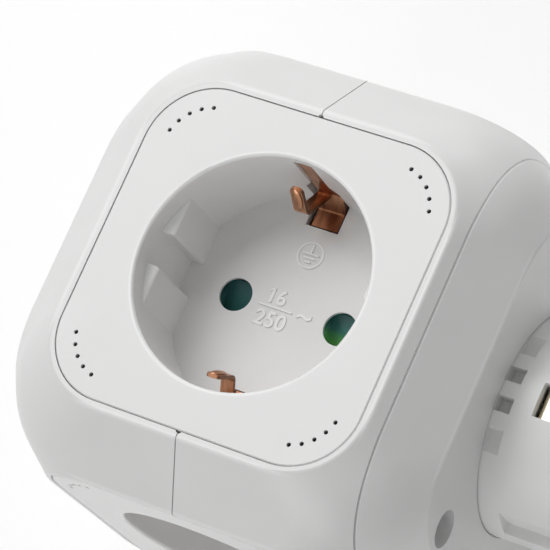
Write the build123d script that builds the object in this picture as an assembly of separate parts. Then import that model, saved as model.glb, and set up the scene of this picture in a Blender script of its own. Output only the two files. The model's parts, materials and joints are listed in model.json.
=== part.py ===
from build123d import *
import math
import os

# Cube socket adapter: earthed sockets on four sides, a wall plug on one end, USB ports on the other.
# Sizes are in millimetres. The pieces are modelled about the cube's centre: X runs from the USB end
# to the plug, and the sockets face +Z, -Y, -Z and +Y. The saved model stands on its lower socket panel,
# with its origin on the ground under the middle of its length.

# Housing
SIDE = 75.2             # side of the cube
CHAMFER = 9.6           # width of the edge chamfers, along a side
CORNER_ROUND = 20.0     # rounding of the cube's corners
RIM_ROUND = 0.6         # rounding between a flat and its chamfers
WALL = 2.4
SEAM = 0.2              # open seam between the two shells
SEAM_NOTCH = 0.4        # radius of the notch where that seam meets a panel
CAP_SEAM = 0.06         # close seam between the right shell and the end cap
LIP = 1.6               # length of the lip that closes a seam from inside
LIP_PLAY = 0.1
CAP_DEPTH = 7.9         # depth of the end cap, from the plug's side to its seam

# Flush panels
PANEL_MARGIN = 1.25     # from the edge of the flat to a panel
PANEL_CORNER = 11.1
PANEL_THICK = 2.2
PANEL_GAP = 0.14
PANEL_EDGE = 0.2        # broken edge of a panel
LEDGE = 1.6             # width of the ledge under a panel's edge
LEDGE_THICK = 1.8
VENT_HOLE = 0.75
VENT_ARC = 7.8          # radius of a row of vent holes, about the panel's corner centre
VENT_STEP = 15.0        # degrees from hole to hole
VENT_ROW = 5            # holes in a row
HOLE_SIDES = 8          # sides that stand for a circle in the smallest holes

# Socket wells
WELL_RADIUS = 19.3
WELL_ROOM = 0.9         # from a well's side to the floors of the wells beside it
WELL_WALL = 1.2
WELL_FLOOR = 1.5
WELL_LIP = 0.5          # rounding of the well's mouth
WELL_APART = 0.3        # room between the lower edges of neighbouring wells
PIN_PITCH = 19.0
PIN_RADIUS = 2.4
PIN_PLAY = 0.4          # room round a pin in its hole
HOLE_LIP = 0.5          # thickness of the floor round a pin hole
HOLE_RELIEF = 1.3       # width of the relief under that lip
GUIDE_DEPTH = 2.4       # from the well's wall to the face of a guide rib
GUIDE_CHANNEL = 5.6     # width between the two ribs of a side
GUIDE_TOP = 3.8         # from the panel's face down to the ribs
GUIDE_LEAD = 0.5        # drop of the ribs' sloping top
GUIDE_ROUND = 0.55

# Slots for the earth contacts, in the well's wall and floor
SLOT_LOW_X = -3.4
SLOT_HIGH_X = 2.5
SLOT_TOP = 1.8          # from the panel's face down to the slot
SLOT_TOP_LOW_X = -2.1
SLOT_TOP_HIGH_X = 1.25
SLOT_SHOULDER = 10.4    # from the panel's face down to where the slot widens
SLOT_FLARE = 1.6        # height over which it widens
SLOT_INSET = 4.9        # from the well's wall to the inner end of the notch in the floor

# Safety shutters
SHUTTER_SIDE = 1.7      # from a pin hole to the shutter's end
SHUTTER_THICK = 3.5
SHUTTER_TRAVEL = 5.8
SHUTTER_EDGE = 0.6      # solid edge beyond the windows and the ramps
SHUTTER_SOLE = 0.7      # thickness left at the foot of a ramp
RUN_GAP = 0.3           # running clearance round a shutter
RAIL = 1.2              # wall of the frame that a shutter runs in
SPRING_SPAN = 16.0
SPRING_SIDES = (-1, 1, -1, 1)   # sides that the zigzag touches, from the shutter on
SPRING_BEND = 1.1
SPRING_SHEET = 0.4
SPRING_HEIGHT = 2.4

# Contact core
CORE_END = 1.0          # from the shutters' ends to the core's ends
CORE_WALL = 1.4
CORE_COVER = 1.2
SLEEVE_SHEET = 0.65
SLEEVE_PLAY = 0.05
SLEEVE_APART = 1.5      # from a sleeve's foot to the sleeves beside it
SLEEVE_SLIT = 2.0
STAR_SHEET = 0.8
STAR_ARM = 6.0
STAR_SINK = 0.2         # depth to which a sleeve is set into its star
POCKET_PLAY = 0.6

# Earth contacts
EARTH_SHEET = 0.6
EARTH_BEND = 0.8
EARTH_PLAY = 0.2        # room beside a contact in its slot
EARTH_LOW_X = -2.4
EARTH_SLOPE = 2.1       # run of the slope between the foot and the leg
EARTH_RISE = 3.0        # height of that slope
FINGER_WIDTH = 2.3
FINGER_ROOT = 1.9       # heights of the finger's points above the well's floor
FINGER_BOW = 7.2
FINGER_TIP = 12.6
FINGER_BOW_REACH = 5.8  # reach of the finger's points from the leg towards the well's axis
FINGER_TIP_REACH = 3.7
FINGER_BEND = 1.3
FINGER_ROUND = 1.0      # rounding of the finger's tip
TAIL_WIDTH = 2.2
FRAME_SHEET = 0.8
FRAME_WIDTH = 3.0
FRAME_ROOM = 0.7        # from the wells to the earth frame

# Plug
PLUG_RADIUS = 18.5
PLUG_HEIGHT = 17.5
PLUG_WALL = 3.7
PLUG_FACE_SEAT = 0.8    # width of the step that the plug's face sits on
PLUG_FACE_THICK = 3.0
FIT_GAP = 0.1
PLUG_EDGE_ROUND = 0.8
NECK_GROOVE = 0.25      # width of the groove round the neck's root
NECK_GROOVE_DEPTH = 0.5
GRIP_DEPTH = 2.8        # depth of the flat behind the grip ribs
GRIP_HEIGHT = 2.7
GRIP_RIB = 2.45
GRIP_PITCH = 4.95
GRIP_RIBS = 3
PLUG_PIN_LENGTH = 19.0
PLUG_PIN_ROUND = 2.0
PIN_BOSS_WALL = 1.9
PIN_BOSS_LENGTH = 9.0
PIN_NECK_RADIUS = 2.1   # neck of a pin, inside its boss
PIN_NECK = 0.3          # length of the neck in front of the plug's face
PIN_TAIL = 4.0
EARTH_PIN_HOLE = 5.0
EARTH_PIN_OFFSET = 10.0
STRIP_WIDTH = 5.2
STRIP_DEPTH = 1.6       # from the plug's outside to the exposed strip
STRIP_INNER = 2.2       # from the neck's bore to the strip inside it
STRIP_LENGTH = 9.8
STRIP_INSET = 0.9

# Housing screws
SCREW_INSET_Y = 4.5     # from the edges of the flat to a screw
SCREW_INSET_Z = 11.0
SCREW_HEAD_RADIUS = 2.8
SCREW_HEAD = 2.0
SCREW_CROWN = 0.6
SCREW_RADIUS = 1.4
SCREW_TIP_ROOM = 1.0    # from the end of a boss to the screw's tip
SCREW_SEAT = 5.4        # from the plug's side down to the screw's seat
RECESS_WIDTH = 0.7      # arms of the cross recess
RECESS_REACH = 1.5
RECESS_DEPTH = 0.9
SCREW_PLAY = 0.3
SCREW_BORE_PLAY = 0.05
CAP_BOSS_WALL = 1.2
SHELL_BOSS_WALL = 2.0
BOSS_ROOM = 0.6         # from the earth frame to the shell's bosses
BOSS_WEB = 1.6

# Wires
WIRE_RADIUS = 1.1
LEAD_RADIUS = 0.7
WIRE_PLAY = 0.2         # room between the core and a wire in its corner channel
WIRE_TURN = 2.8         # from a core cover to a wire that crosses it
WIRE_DROP = 4.5         # from the earth frame to the fold of the live wire
WIRE_SLANT = 3.2        # run along X of the live wire's fold
WIRE_HOLE_PLAY = 0.5

# USB supply
BOARD_INSET = 3.75      # from the panel's edge to the board's edge
BOARD_CORNER = 2.0
BOARD_THICK = 1.6
BOARD_ROOM = 4.3        # from the wells to the board's outer face
POST_RADIUS = 2.7
POST_INSET = 7.25       # from the panel's edge to a post
PORT_WIDTH = 13.2
PORT_HEIGHT = 5.7
PORT_SHEET = 0.35
PORT_PITCH = 19.0
PORT_INSET = 0.3
PORT_GAP = 0.2
TONGUE_WIDTH = 11.2
TONGUE_THICK = 1.9
TONGUE_OFFSET = 0.75
TONGUE_INSET = 1.0
TONGUE_BASE = 2.6
COMPONENT_ROW = 6.0     # from a post to the components beside it, along Z
TRANSFORMER_INSET = 9.5  # from a post to the transformer, along Y
FERRITE_WIDTH = 14.0
FERRITE_THICK = 4.6
FERRITE_ROOM = 1.1      # from the transformer's core to the panel
WINDING_WIDTH = 9.6
WINDING_LENGTH = 11.0
WINDING_ROOM = 3.2      # from the winding to the panel
# Insets from a post along Y, sides along Z, radii and the room left under the panel
CAPACITORS = ((10.5, 1, 4.0, 1.0), (4.0, -1, 3.15, 2.0), (14.5, -1, 3.15, 2.0))

# Places worked out from the sizes above
HALF = SIDE / 2
FLAT_HALF = HALF - CHAMFER
PANEL_HALF = FLAT_HALF - PANEL_MARGIN
PANEL = 2 * PANEL_HALF
CAP_X = HALF - CAP_DEPTH
PANEL_BACK = HALF - PANEL_THICK
FLOOR = WELL_RADIUS + WELL_ROOM
WELL_DEPTH = HALF - FLOOR
FLOOR_BACK = FLOOR - WELL_FLOOR
WELL_OUTER = WELL_RADIUS + WELL_WALL
GUIDE_REACH = WELL_RADIUS - GUIDE_DEPTH
SLOT_REACH = WELL_RADIUS - SLOT_INSET
PIN_X = PIN_PITCH / 2
PIN_HOLE = 2 * (PIN_RADIUS + PIN_PLAY)
SHUTTER_LENGTH = PIN_PITCH + PIN_HOLE + 2 * SHUTTER_SIDE
SHUTTER_TOP = FLOOR_BACK - RUN_GAP
SHUTTER_BOTTOM = SHUTTER_TOP - SHUTTER_THICK
CORE_HALF = SHUTTER_BOTTOM - RUN_GAP
CORE_X = SHUTTER_LENGTH / 2 + CORE_END
SLEEVE_RADIUS = PIN_RADIUS + SLEEVE_PLAY + SLEEVE_SHEET
SLEEVE_FOOT = SLEEVE_RADIUS + SLEEVE_APART
STAR_X = PIN_X + SLEEVE_RADIUS - STAR_SINK
STAR_REACH = CORE_HALF - CORE_WALL - POCKET_PLAY
EARTH_LEG = WELL_RADIUS + WELL_WALL / 2
EARTH_FOLD = EARTH_LEG - EARTH_SLOPE
EARTH_FOOT = SLOT_REACH + EARTH_PLAY
EARTH_HIGH_X = SLOT_HIGH_X - EARTH_PLAY
TAIL_TOP = FLOOR_BACK - EARTH_SHEET
FRAME_X = WELL_OUTER + FRAME_ROOM
FRAME_INNER = TAIL_TOP - 1.5 * EARTH_SHEET
FRAME_OUTER = FRAME_INNER + FRAME_WIDTH
PLUG_FRONT = HALF + PLUG_HEIGHT
PLUG_BORE = PLUG_RADIUS - PLUG_WALL
PLUG_FACE_RADIUS = PLUG_BORE + PLUG_FACE_SEAT
STRIP_REACH = PLUG_RADIUS - STRIP_DEPTH
STRIP_X = PLUG_FRONT - STRIP_INSET - STRIP_LENGTH
SCREW_Y = FLAT_HALF - SCREW_INSET_Y
SCREW_Z = FLAT_HALF - SCREW_INSET_Z
BOSS_X = FRAME_X + FRAME_SHEET + BOSS_ROOM
CHANNEL = CORE_HALF + WIRE_RADIUS + WIRE_PLAY
WIRE_TURN_X = CORE_X + CORE_COVER + WIRE_TURN
WIRE_DROP_X = FRAME_X + FRAME_SHEET + WIRE_DROP
BOARD = PANEL - 2 * BOARD_INSET
BOARD_FACE_X = WELL_OUTER + BOARD_ROOM
BOARD_HEADROOM = PANEL_BACK - BOARD_FACE_X
POST_PLACE = PANEL_HALF - POST_INSET
ROW_PLACE = POST_PLACE - COMPONENT_ROW
MIDDLE_X = (PLUG_FRONT + PLUG_PIN_LENGTH - HALF) / 2
TURNS = {"top": 0, "front": 90, "bottom": 180, "back": 270}
CORNERS = {"back_top": 0, "front_top": 90, "front_bottom": 180, "back_bottom": 270}


def slab(low, high):
    """Everything between two planes across X."""
    return Pos((low + high) / 2, 0, 0) * Box(high - low, 2 * SIDE, 2 * SIDE)


def rod(radius, start, end):
    """Round bar along X, centred on the axis."""
    return Pos((start + end) / 2, 0, 0) * Rot(0, 90, 0) * Cylinder(radius, abs(end - start))


def cube_form(inset):
    """The cube with chamfered edges and rounded corners, every surface moved in by the inset."""
    half = HALF - inset
    reach = (HALF + FLAT_HALF) * math.cos(math.pi / 4) - inset
    long_side = 2 * SIDE
    form = Box(2 * half, 2 * half, 2 * half)
    form &= Rot(45, 0, 0) * Box(long_side, 2 * reach, 2 * reach)
    form &= Rot(0, 45, 0) * Box(2 * reach, long_side, 2 * reach)
    form &= Rot(0, 0, 45) * Box(2 * reach, 2 * reach, long_side)
    slanted = [edge for edge in form.edges() if max(map(abs, edge.center())) < half - SEAM / 2]
    return fillet(slanted, CORNER_ROUND - inset)


def outer_form():
    """The cube's outside, with the rims of its six flats rounded."""
    form = cube_form(0)
    rims = [edge for edge in form.edges() if max(map(abs, edge.center())) > HALF - SEAM / 2]
    return fillet(rims, RIM_ROUND)


def panel_plate(grow=0.0, low=PANEL_BACK, high=HALF):
    """Rounded square plate on the +Z side."""
    size = PANEL + 2 * grow
    return extrude(Pos(0, 0, low) * RectangleRounded(size, size, PANEL_CORNER + grow), high - low)


def flush_panel():
    """Panel of the +Z side with its outer edge broken."""
    plate = panel_plate()
    return chamfer(plate.edges().group_by(Axis.Z)[-1], PANEL_EDGE)


def on_panel_sides(shape):
    """A shape of the +Z side, set on the four socket sides and the USB end."""
    return [Rot(turn, 0, 0) * shape for turn in TURNS.values()] + [Rot(0, -90, 0) * shape]


def housing():
    """The left shell, the right shell and the end cap, before the cap gets its plug."""
    inner = cube_form(WALL)
    notch = Pos(0, PANEL_HALF, PANEL_BACK) * RegularPolygon(SEAM_NOTCH + PANEL_GAP, HOLE_SIDES)
    notch = extrude(notch, PANEL_THICK + WALL)
    ledge = panel_plate(LEDGE, PANEL_BACK - LEDGE_THICK, PANEL_BACK)
    ledge -= panel_plate(-LEDGE, PANEL_BACK - WALL, HALF)
    hollow = inner - on_panel_sides(ledge)
    skin = outer_form() - hollow - on_panel_sides(panel_plate(PANEL_GAP, PANEL_BACK, HALF + WALL))
    skin -= on_panel_sides(panel_plate(-LEDGE, FLOOR, HALF))
    skin -= [Rot(turn, 0, 0) * end for turn in TURNS.values() for end in (notch, mirror(notch, Plane.XZ))]
    lips = cube_form(WALL / 2 + LIP_PLAY) - inner
    lips -= on_panel_sides(panel_plate(PANEL_GAP + SEAM_NOTCH, FLOOR, HALF + WALL))
    grooves = cube_form(WALL / 2) - inner
    left = skin & slab(-HALF, -SEAM / 2)
    left += lips & slab(-SEAM / 2 - LIP, LIP - LIP_PLAY)
    right = skin & slab(SEAM / 2, CAP_X - CAP_SEAM / 2)
    right -= grooves & slab(-LIP, LIP)
    right += lips & slab(CAP_X - LIP, CAP_X + LIP - LIP_PLAY)
    cap = skin & slab(CAP_X + CAP_SEAM / 2, HALF)
    cap -= grooves & slab(CAP_X - LIP, CAP_X + LIP)
    return left, right, cap


def at_screws(shape):
    """A shape on the X axis, set at the four housing screws."""
    first = Pos(0, SCREW_Y, SCREW_Z) * shape
    pair = [first, mirror(first, Plane.XZ)]
    return pair + [mirror(one, Plane.XY) for one in pair]


def shell_bosses(skin):
    """Bosses for the housing screws, each on a web that runs into the corner's wall."""
    seat = CAP_X - CAP_SEAM / 2
    web = Box(seat - BOSS_X, HALF, BOSS_WEB, align=(Align.MIN, Align.MIN, Align.CENTER))
    boss = rod(SCREW_RADIUS + SHELL_BOSS_WALL, BOSS_X, seat) + Pos(BOSS_X, 0, 0) * Rot(45, 0, 0) * web
    bosses = Part() + at_screws(boss)
    bores = at_screws(rod(SCREW_RADIUS + SCREW_BORE_PLAY, BOSS_X - SEAM, seat + SEAM))
    return skin + (bosses & cube_form(WALL / 2 + LIP_PLAY)) - bores


def plug_neck():
    """The plug's round neck on the end cap: grip ribs, guide grooves and earth recesses."""
    neck = rod(PLUG_RADIUS, HALF - WALL / 2, PLUG_FRONT)
    front = neck.edges().group_by(Axis.X)[-1]
    neck = fillet(front, PLUG_EDGE_ROUND)
    flat = PLUG_RADIUS - GRIP_DEPTH
    window = Box(GRIP_HEIGHT, 2 * PLUG_RADIUS, PLUG_RADIUS, align=(Align.MIN, Align.CENTER, Align.MIN))
    window = Pos(HALF, 0, flat) * window
    for index in range(GRIP_RIBS):
        offset = (index - (GRIP_RIBS - 1) / 2) * GRIP_PITCH
        window -= Pos(HALF, offset, flat) * Box(2 * PLUG_RADIUS, GRIP_RIB, 2 * PLUG_RADIUS)
    groove_length = WELL_DEPTH - GUIDE_TOP + RUN_GAP
    groove_side = GUIDE_CHANNEL / 2 - RUN_GAP
    groove = Box(groove_length, PLUG_RADIUS, PLUG_RADIUS, align=(Align.MAX, Align.MIN, Align.MIN))
    groove = Pos(PLUG_FRONT, GUIDE_REACH - RUN_GAP, groove_side) * groove
    recess_depth = STRIP_REACH - EARTH_SHEET / 2
    slot_width = STRIP_WIDTH + 2 * EARTH_PLAY
    recess = Box(PLUG_FRONT - STRIP_X + EARTH_SHEET, slot_width, PLUG_RADIUS,
                 align=(Align.MAX, Align.CENTER, Align.MIN))
    recess = Pos(PLUG_FRONT, 0, recess_depth) * recess
    passage = Box(EARTH_SHEET + 2 * EARTH_BEND, slot_width, STRIP_REACH,
                  align=(Align.CENTER, Align.CENTER, Align.MIN))
    passage = Pos(STRIP_X, 0, 0) * passage
    for turn in (0, 180):
        neck -= Rot(turn, 0, 0) * window
        neck -= Rot(turn, 0, 0) * groove
        neck -= Rot(turn, 0, 0) * mirror(groove, Plane.XY)
        neck -= Rot(turn, 0, 0) * recess
        neck -= Rot(turn, 0, 0) * passage
    return neck


def end_cap(cap):
    """End cap with the plug's neck and the screws' seats."""
    boss_radius = SCREW_HEAD_RADIUS + SCREW_PLAY + CAP_BOSS_WALL
    cap -= rod(PLUG_RADIUS + NECK_GROOVE, HALF - NECK_GROOVE_DEPTH, HALF)
    cap += plug_neck()
    cap += at_screws(rod(boss_radius, CAP_X + CAP_SEAM / 2, HALF - WALL / 2))
    cap -= rod(PLUG_BORE, CAP_X, PLUG_FRONT)
    for side in (-PIN_X, PIN_X):
        cap -= Pos(0, side, 0) * rod(PIN_RADIUS + PIN_BOSS_WALL + FIT_GAP, CAP_X, PLUG_FRONT)
    cap -= rod(PLUG_FACE_RADIUS + FIT_GAP, PLUG_FRONT - PLUG_FACE_THICK, PLUG_FRONT)
    cap -= at_screws(rod(SCREW_HEAD_RADIUS + SCREW_PLAY, HALF - SCREW_SEAT, HALF + SEAM))
    cap -= at_screws(rod(SCREW_RADIUS + SCREW_PLAY, CAP_X, HALF))
    return cap


def housing_screws():
    """Four pan head screws with a cross recess, through the end cap."""
    seat = HALF - SCREW_SEAT
    screw = rod(SCREW_HEAD_RADIUS, seat, seat + SCREW_HEAD)
    crown = screw.edges().group_by(Axis.X)[-1]
    screw = chamfer(crown, SCREW_CROWN) + rod(SCREW_RADIUS, BOSS_X + SCREW_TIP_ROOM, seat)
    recess = extrude(cross(RECESS_WIDTH, RECESS_REACH), RECESS_DEPTH)
    screw -= Pos(seat + SCREW_HEAD - RECESS_DEPTH, 0, 0) * recess
    return Part() + at_screws(screw)


def plug_face():
    """Disc that closes the plug's neck, with the bosses that hold the pins."""
    disc = rod(PLUG_FACE_RADIUS, PLUG_FRONT - PLUG_FACE_THICK, PLUG_FRONT)
    for side in (-PIN_X, PIN_X):
        disc += Pos(0, side, 0) * rod(PIN_RADIUS + PIN_BOSS_WALL, PLUG_FRONT - PIN_BOSS_LENGTH, PLUG_FRONT)
    for side in (-PIN_X, PIN_X):
        disc -= Pos(0, side, 0) * rod(PIN_NECK_RADIUS, PLUG_FRONT - PIN_BOSS_LENGTH, PLUG_FRONT)
    earth_hole = rod(EARTH_PIN_HOLE / 2, PLUG_FRONT - PLUG_FACE_THICK, PLUG_FRONT)
    return disc - Pos(0, 0, EARTH_PIN_OFFSET) * earth_hole


def plug_pin(side):
    """Round pin with a rounded tip, and a neck that ends in a tail for its wire."""
    root = PLUG_FRONT + PIN_NECK
    pin = rod(PIN_RADIUS, root, PLUG_FRONT + PLUG_PIN_LENGTH)
    tip = pin.edges().group_by(Axis.X)[-1]
    neck = rod(PIN_NECK_RADIUS, PLUG_FRONT - PIN_BOSS_LENGTH - PIN_TAIL, root)
    return Pos(0, side, 0) * (fillet(tip, PLUG_PIN_ROUND) + neck)


def plug_earth_strip(turn):
    """Earth strip: exposed on the plug's side, then inside the neck back to the earth frame."""
    inside = PLUG_BORE - STRIP_INNER
    tab_x = FRAME_X + FRAME_SHEET + EARTH_SHEET / 2
    route = [(PLUG_FRONT - STRIP_INSET, STRIP_REACH), (STRIP_X, STRIP_REACH), (STRIP_X, inside)]
    route += [(WIRE_DROP_X, inside), (tab_x, FRAME_INNER), (tab_x, FRAME_OUTER)]
    line = FilletPolyline(*route, radius=EARTH_BEND)
    strip = extrude(Plane.XZ * trace(line, EARTH_SHEET), STRIP_WIDTH / 2, both=True)
    return Rot(turn, 0, 0) * strip


def guide_ribs():
    """The ribs that guide a plug: flat towards the axis, with a sloping top, two on each side."""
    top = HALF - GUIDE_TOP
    wall = WELL_RADIUS + WELL_WALL / 2
    outline = [(GUIDE_REACH, FLOOR_BACK), (wall, FLOOR_BACK), (wall, top), (GUIDE_REACH, top - GUIDE_LEAD)]
    section = Plane.XZ * make_face(Polyline(*outline, close=True))
    rib = extrude(section, -WELL_RADIUS) & Pos(0, GUIDE_CHANNEL / 2, 0) * Box(
        4 * WELL_RADIUS, WELL_RADIUS, 4 * WELL_RADIUS, align=(Align.CENTER, Align.MIN, Align.CENTER))
    inner = rib.edges().group_by(Axis.X)[0]
    rib = fillet(inner, GUIDE_ROUND) & extrude(Circle(wall), HALF)
    pair = rib + mirror(rib, Plane.XZ)
    return pair + mirror(pair, Plane.YZ)


def slot_section(play, foot):
    """A slot for an earth contact, narrow above its shoulders, with its sides moved in by the play."""
    narrow = (SLOT_TOP_LOW_X + play, SLOT_TOP_HIGH_X - play)
    wide = (SLOT_LOW_X + play, SLOT_HIGH_X - play)
    top = HALF - SLOT_TOP - play
    shoulder = HALF - SLOT_SHOULDER
    flare = shoulder - SLOT_FLARE
    outline = [(narrow[0], top), (narrow[1], top), (narrow[1], shoulder), (wide[1], flare), (wide[1], foot)]
    outline += [(wide[0], foot), (wide[0], flare), (narrow[0], shoulder)]
    return extrude(Plane.XZ * make_face(Polyline(*outline, close=True)), -HALF)


def earth_slots():
    """Cuts for the earth contacts: a slot in the wall and a notch in the floor, on two sides."""
    slot = slot_section(0, FLOOR_BACK - SEAM) - extrude(Circle(WELL_RADIUS - SEAM), HALF)
    slot &= extrude(Circle(WELL_RADIUS + 2 * WELL_WALL), HALF)
    size = (SLOT_HIGH_X - SLOT_LOW_X, WELL_RADIUS - SLOT_REACH, FLOOR)
    slot += Pos(SLOT_LOW_X, SLOT_REACH, FLOOR + SEAM) * Box(*size, align=(Align.MIN, Align.MIN, Align.MAX))
    return slot + mirror(slot, Plane.XZ)


def shutter_frame():
    """Frame under the well's floor that a shutter runs in, with its stop and its spring seat."""
    low_y = -SHUTTER_TRAVEL - PIN_HOLE / 2 - SHUTTER_EDGE - RUN_GAP
    high_y = CORE_HALF - RUN_GAP - RAIL
    inner_x = SHUTTER_LENGTH / 2 + RUN_GAP
    height = FLOOR_BACK - CORE_HALF
    middle = Pos(0, (low_y + high_y) / 2, CORE_HALF + height / 2)
    outer = Box(2 * (inner_x + RAIL), high_y - low_y + 2 * RAIL, height)
    return middle * (outer - Box(2 * inner_x, high_y - low_y, height))


def vent_holes():
    """Rows of small holes that follow the panel's round corners."""
    centre = PANEL_HALF - PANEL_CORNER
    first = 45 - VENT_STEP * (VENT_ROW - 1) / 2
    mouth = RegularPolygon(VENT_HOLE / 2, HOLE_SIDES)
    drill = extrude(Pos(0, 0, PANEL_BACK - SEAM) * mouth, PANEL_THICK + 2 * SEAM)
    holes = []
    for quarter in range(4):
        for index in range(VENT_ROW):
            angle = math.radians(first + index * VENT_STEP)
            place = Pos(centre + VENT_ARC * math.cos(angle), centre + VENT_ARC * math.sin(angle), 0)
            holes.append(Rot(0, 0, 90 * quarter) * place * drill)
    return holes


def socket_insert():
    """Flush panel with its well, guide ribs, pin holes, clip slots, vent holes and shutter frame."""
    apart = WELL_APART / 2
    profile = [(0, FLOOR_BACK), (FLOOR_BACK - apart, FLOOR_BACK), (WELL_OUTER, WELL_OUTER + apart)]
    profile += [(WELL_OUTER, PANEL_BACK), (0, PANEL_BACK)]
    well = revolve(Plane.XZ * make_face(Polyline(*profile, close=True)), Axis.Z)
    insert = well + flush_panel()
    insert -= Pos(0, 0, FLOOR) * extrude(Circle(WELL_RADIUS), WELL_DEPTH)
    mouth = [edge for edge in insert.edges().filter_by(GeomType.CIRCLE)
             if abs(edge.center().Z - HALF) < SEAM and abs(edge.radius - WELL_RADIUS) < SEAM]
    insert = fillet(mouth, WELL_LIP)
    insert += guide_ribs()
    insert -= earth_slots()
    insert += shutter_frame()
    for side in (-PIN_X, PIN_X):
        insert -= Pos(side, 0, FLOOR) * Cylinder(PIN_HOLE / 2, 3 * WELL_FLOOR)
        insert -= Pos(side, 0, FLOOR_BACK) * Cylinder(PIN_HOLE / 2 + HOLE_RELIEF, 2 * (WELL_FLOOR - HOLE_LIP))
    return insert - vent_holes()


def shutter():
    """Slider with a ramp under each pin hole and a window beside each ramp."""
    window_y = -SHUTTER_TRAVEL
    window = PIN_HOLE / 2
    low_y = window_y - window - SHUTTER_EDGE
    high_y = window + SHUTTER_EDGE
    size = (SHUTTER_LENGTH, high_y - low_y, SHUTTER_THICK)
    slider = Pos(0, (low_y + high_y) / 2, SHUTTER_BOTTOM + SHUTTER_THICK / 2) * Box(*size)
    foot = window_y + window
    ramp = [(window_y - window, SHUTTER_TOP), (window_y - window, SHUTTER_BOTTOM), (foot, SHUTTER_BOTTOM)]
    ramp += [(foot, SHUTTER_BOTTOM + SHUTTER_SOLE), (high_y - SHUTTER_EDGE, SHUTTER_TOP)]
    cut = extrude(Plane.YZ * make_face(Polyline(*ramp, close=True)), window, both=True)
    for side in (-PIN_X, PIN_X):
        slider -= Pos(side, 0, 0) * cut
    return slider


def shutter_spring():
    """Flat zigzag spring between a shutter and the end of its frame."""
    start = PIN_HOLE / 2 + SHUTTER_EDGE + SPRING_SHEET / 2
    end = CORE_HALF - RUN_GAP - RAIL - SPRING_SHEET / 2
    half = SPRING_SPAN / 2
    step = (end - start) / (len(SPRING_SIDES) - 1)
    route = [(side * half, start + index * step) for index, side in enumerate(SPRING_SIDES)]
    sheet = trace(FilletPolyline(*route, radius=SPRING_BEND), SPRING_SHEET)
    for x, y in (route[0], route[-1]):
        sheet += Pos(x - x / 4, y) * Rectangle(SPRING_SPAN / 4, SPRING_SHEET)
    middle = (SHUTTER_TOP + SHUTTER_BOTTOM) / 2
    return extrude(Pos(0, 0, middle - SPRING_HEIGHT / 2) * sheet, SPRING_HEIGHT)


def cross(arm, reach):
    """Cross-shaped outline in the YZ plane."""
    return Plane.YZ * (Rectangle(arm, 2 * reach) + Rectangle(2 * reach, arm))


def contact_core():
    """Insulating block between the four wells, with a pocket for a contact star at each end."""
    core = Box(2 * CORE_X, 2 * CORE_HALF, 2 * CORE_HALF)
    pocket_half = SLEEVE_RADIUS + POCKET_PLAY
    pocket_x = PIN_X - pocket_half
    pocket = Pos(pocket_x, 0, 0) * extrude(cross(2 * pocket_half, CORE_HALF - CORE_WALL), CORE_X - pocket_x)
    core -= [pocket, mirror(pocket, Plane.YZ)]
    for side in (-PIN_X, PIN_X):
        core -= Pos(side, 0, 0) * Cylinder(PIN_HOLE / 2, 3 * CORE_HALF)
        core -= Pos(side, 0, 0) * Rot(90, 0, 0) * Cylinder(PIN_HOLE / 2, 3 * CORE_HALF)
    return core


def core_cover(side):
    """Lid over a pocket of the core, with a hole for each wire."""
    lid = 2 * (CORE_HALF - RUN_GAP)
    cover = Pos(CORE_X + CORE_COVER / 2, 0, 0) * Box(CORE_COVER, lid, lid)
    hole = rod(WIRE_RADIUS + WIRE_HOLE_PLAY, CORE_X, CORE_X + CORE_COVER)
    cover -= [Pos(0, -PIN_X, 0) * hole, Pos(0, PIN_X, 0) * hole, Pos(0, 0, PIN_X) * hole]
    return cover if side > 0 else mirror(cover, Plane.YZ)


def contact_star(side):
    """Stamped star with a slit sleeve for a pin on each of its four arms."""
    star = Pos(STAR_X, 0, 0) * extrude(cross(STAR_ARM, STAR_REACH), STAR_SHEET)
    ring = Circle(SLEEVE_RADIUS) - Circle(SLEEVE_RADIUS - SLEEVE_SHEET)
    ring -= Pos(-SLEEVE_RADIUS, 0) * Rectangle(2 * SLEEVE_RADIUS, SLEEVE_SLIT)
    sleeve = extrude(Pos(PIN_X, 0, SLEEVE_FOOT) * ring, STAR_REACH - SLEEVE_FOOT)
    star += [Rot(turn, 0, 0) * sleeve for turn in TURNS.values()]
    return star if side > 0 else mirror(star, Plane.YZ)


def earth_strip(route, bend, low_x, high_x):
    """Bent sheet: its route in the YZ plane, its width along X."""
    line = FilletPolyline(*route, radius=bend)
    return extrude(Plane.YZ.offset(low_x) * trace(line, EARTH_SHEET), high_x - low_x)


def earth_finger():
    """Sprung finger of an earth contact: it leans in from the leg and turns up to a rounded tip."""
    route = [(EARTH_LEG, FLOOR + FINGER_ROOT), (EARTH_LEG - FINGER_BOW_REACH, FLOOR + FINGER_BOW)]
    route += [(EARTH_LEG - FINGER_TIP_REACH, FLOOR + FINGER_TIP)]
    finger = earth_strip(route, FINGER_BEND, EARTH_LOW_X, EARTH_LOW_X + FINGER_WIDTH)
    tip = finger.faces().sort_by(Axis.Z)[-1]
    return fillet([edge for edge in tip.edges() if edge.length < FINGER_WIDTH / 2], FINGER_ROUND)


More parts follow.
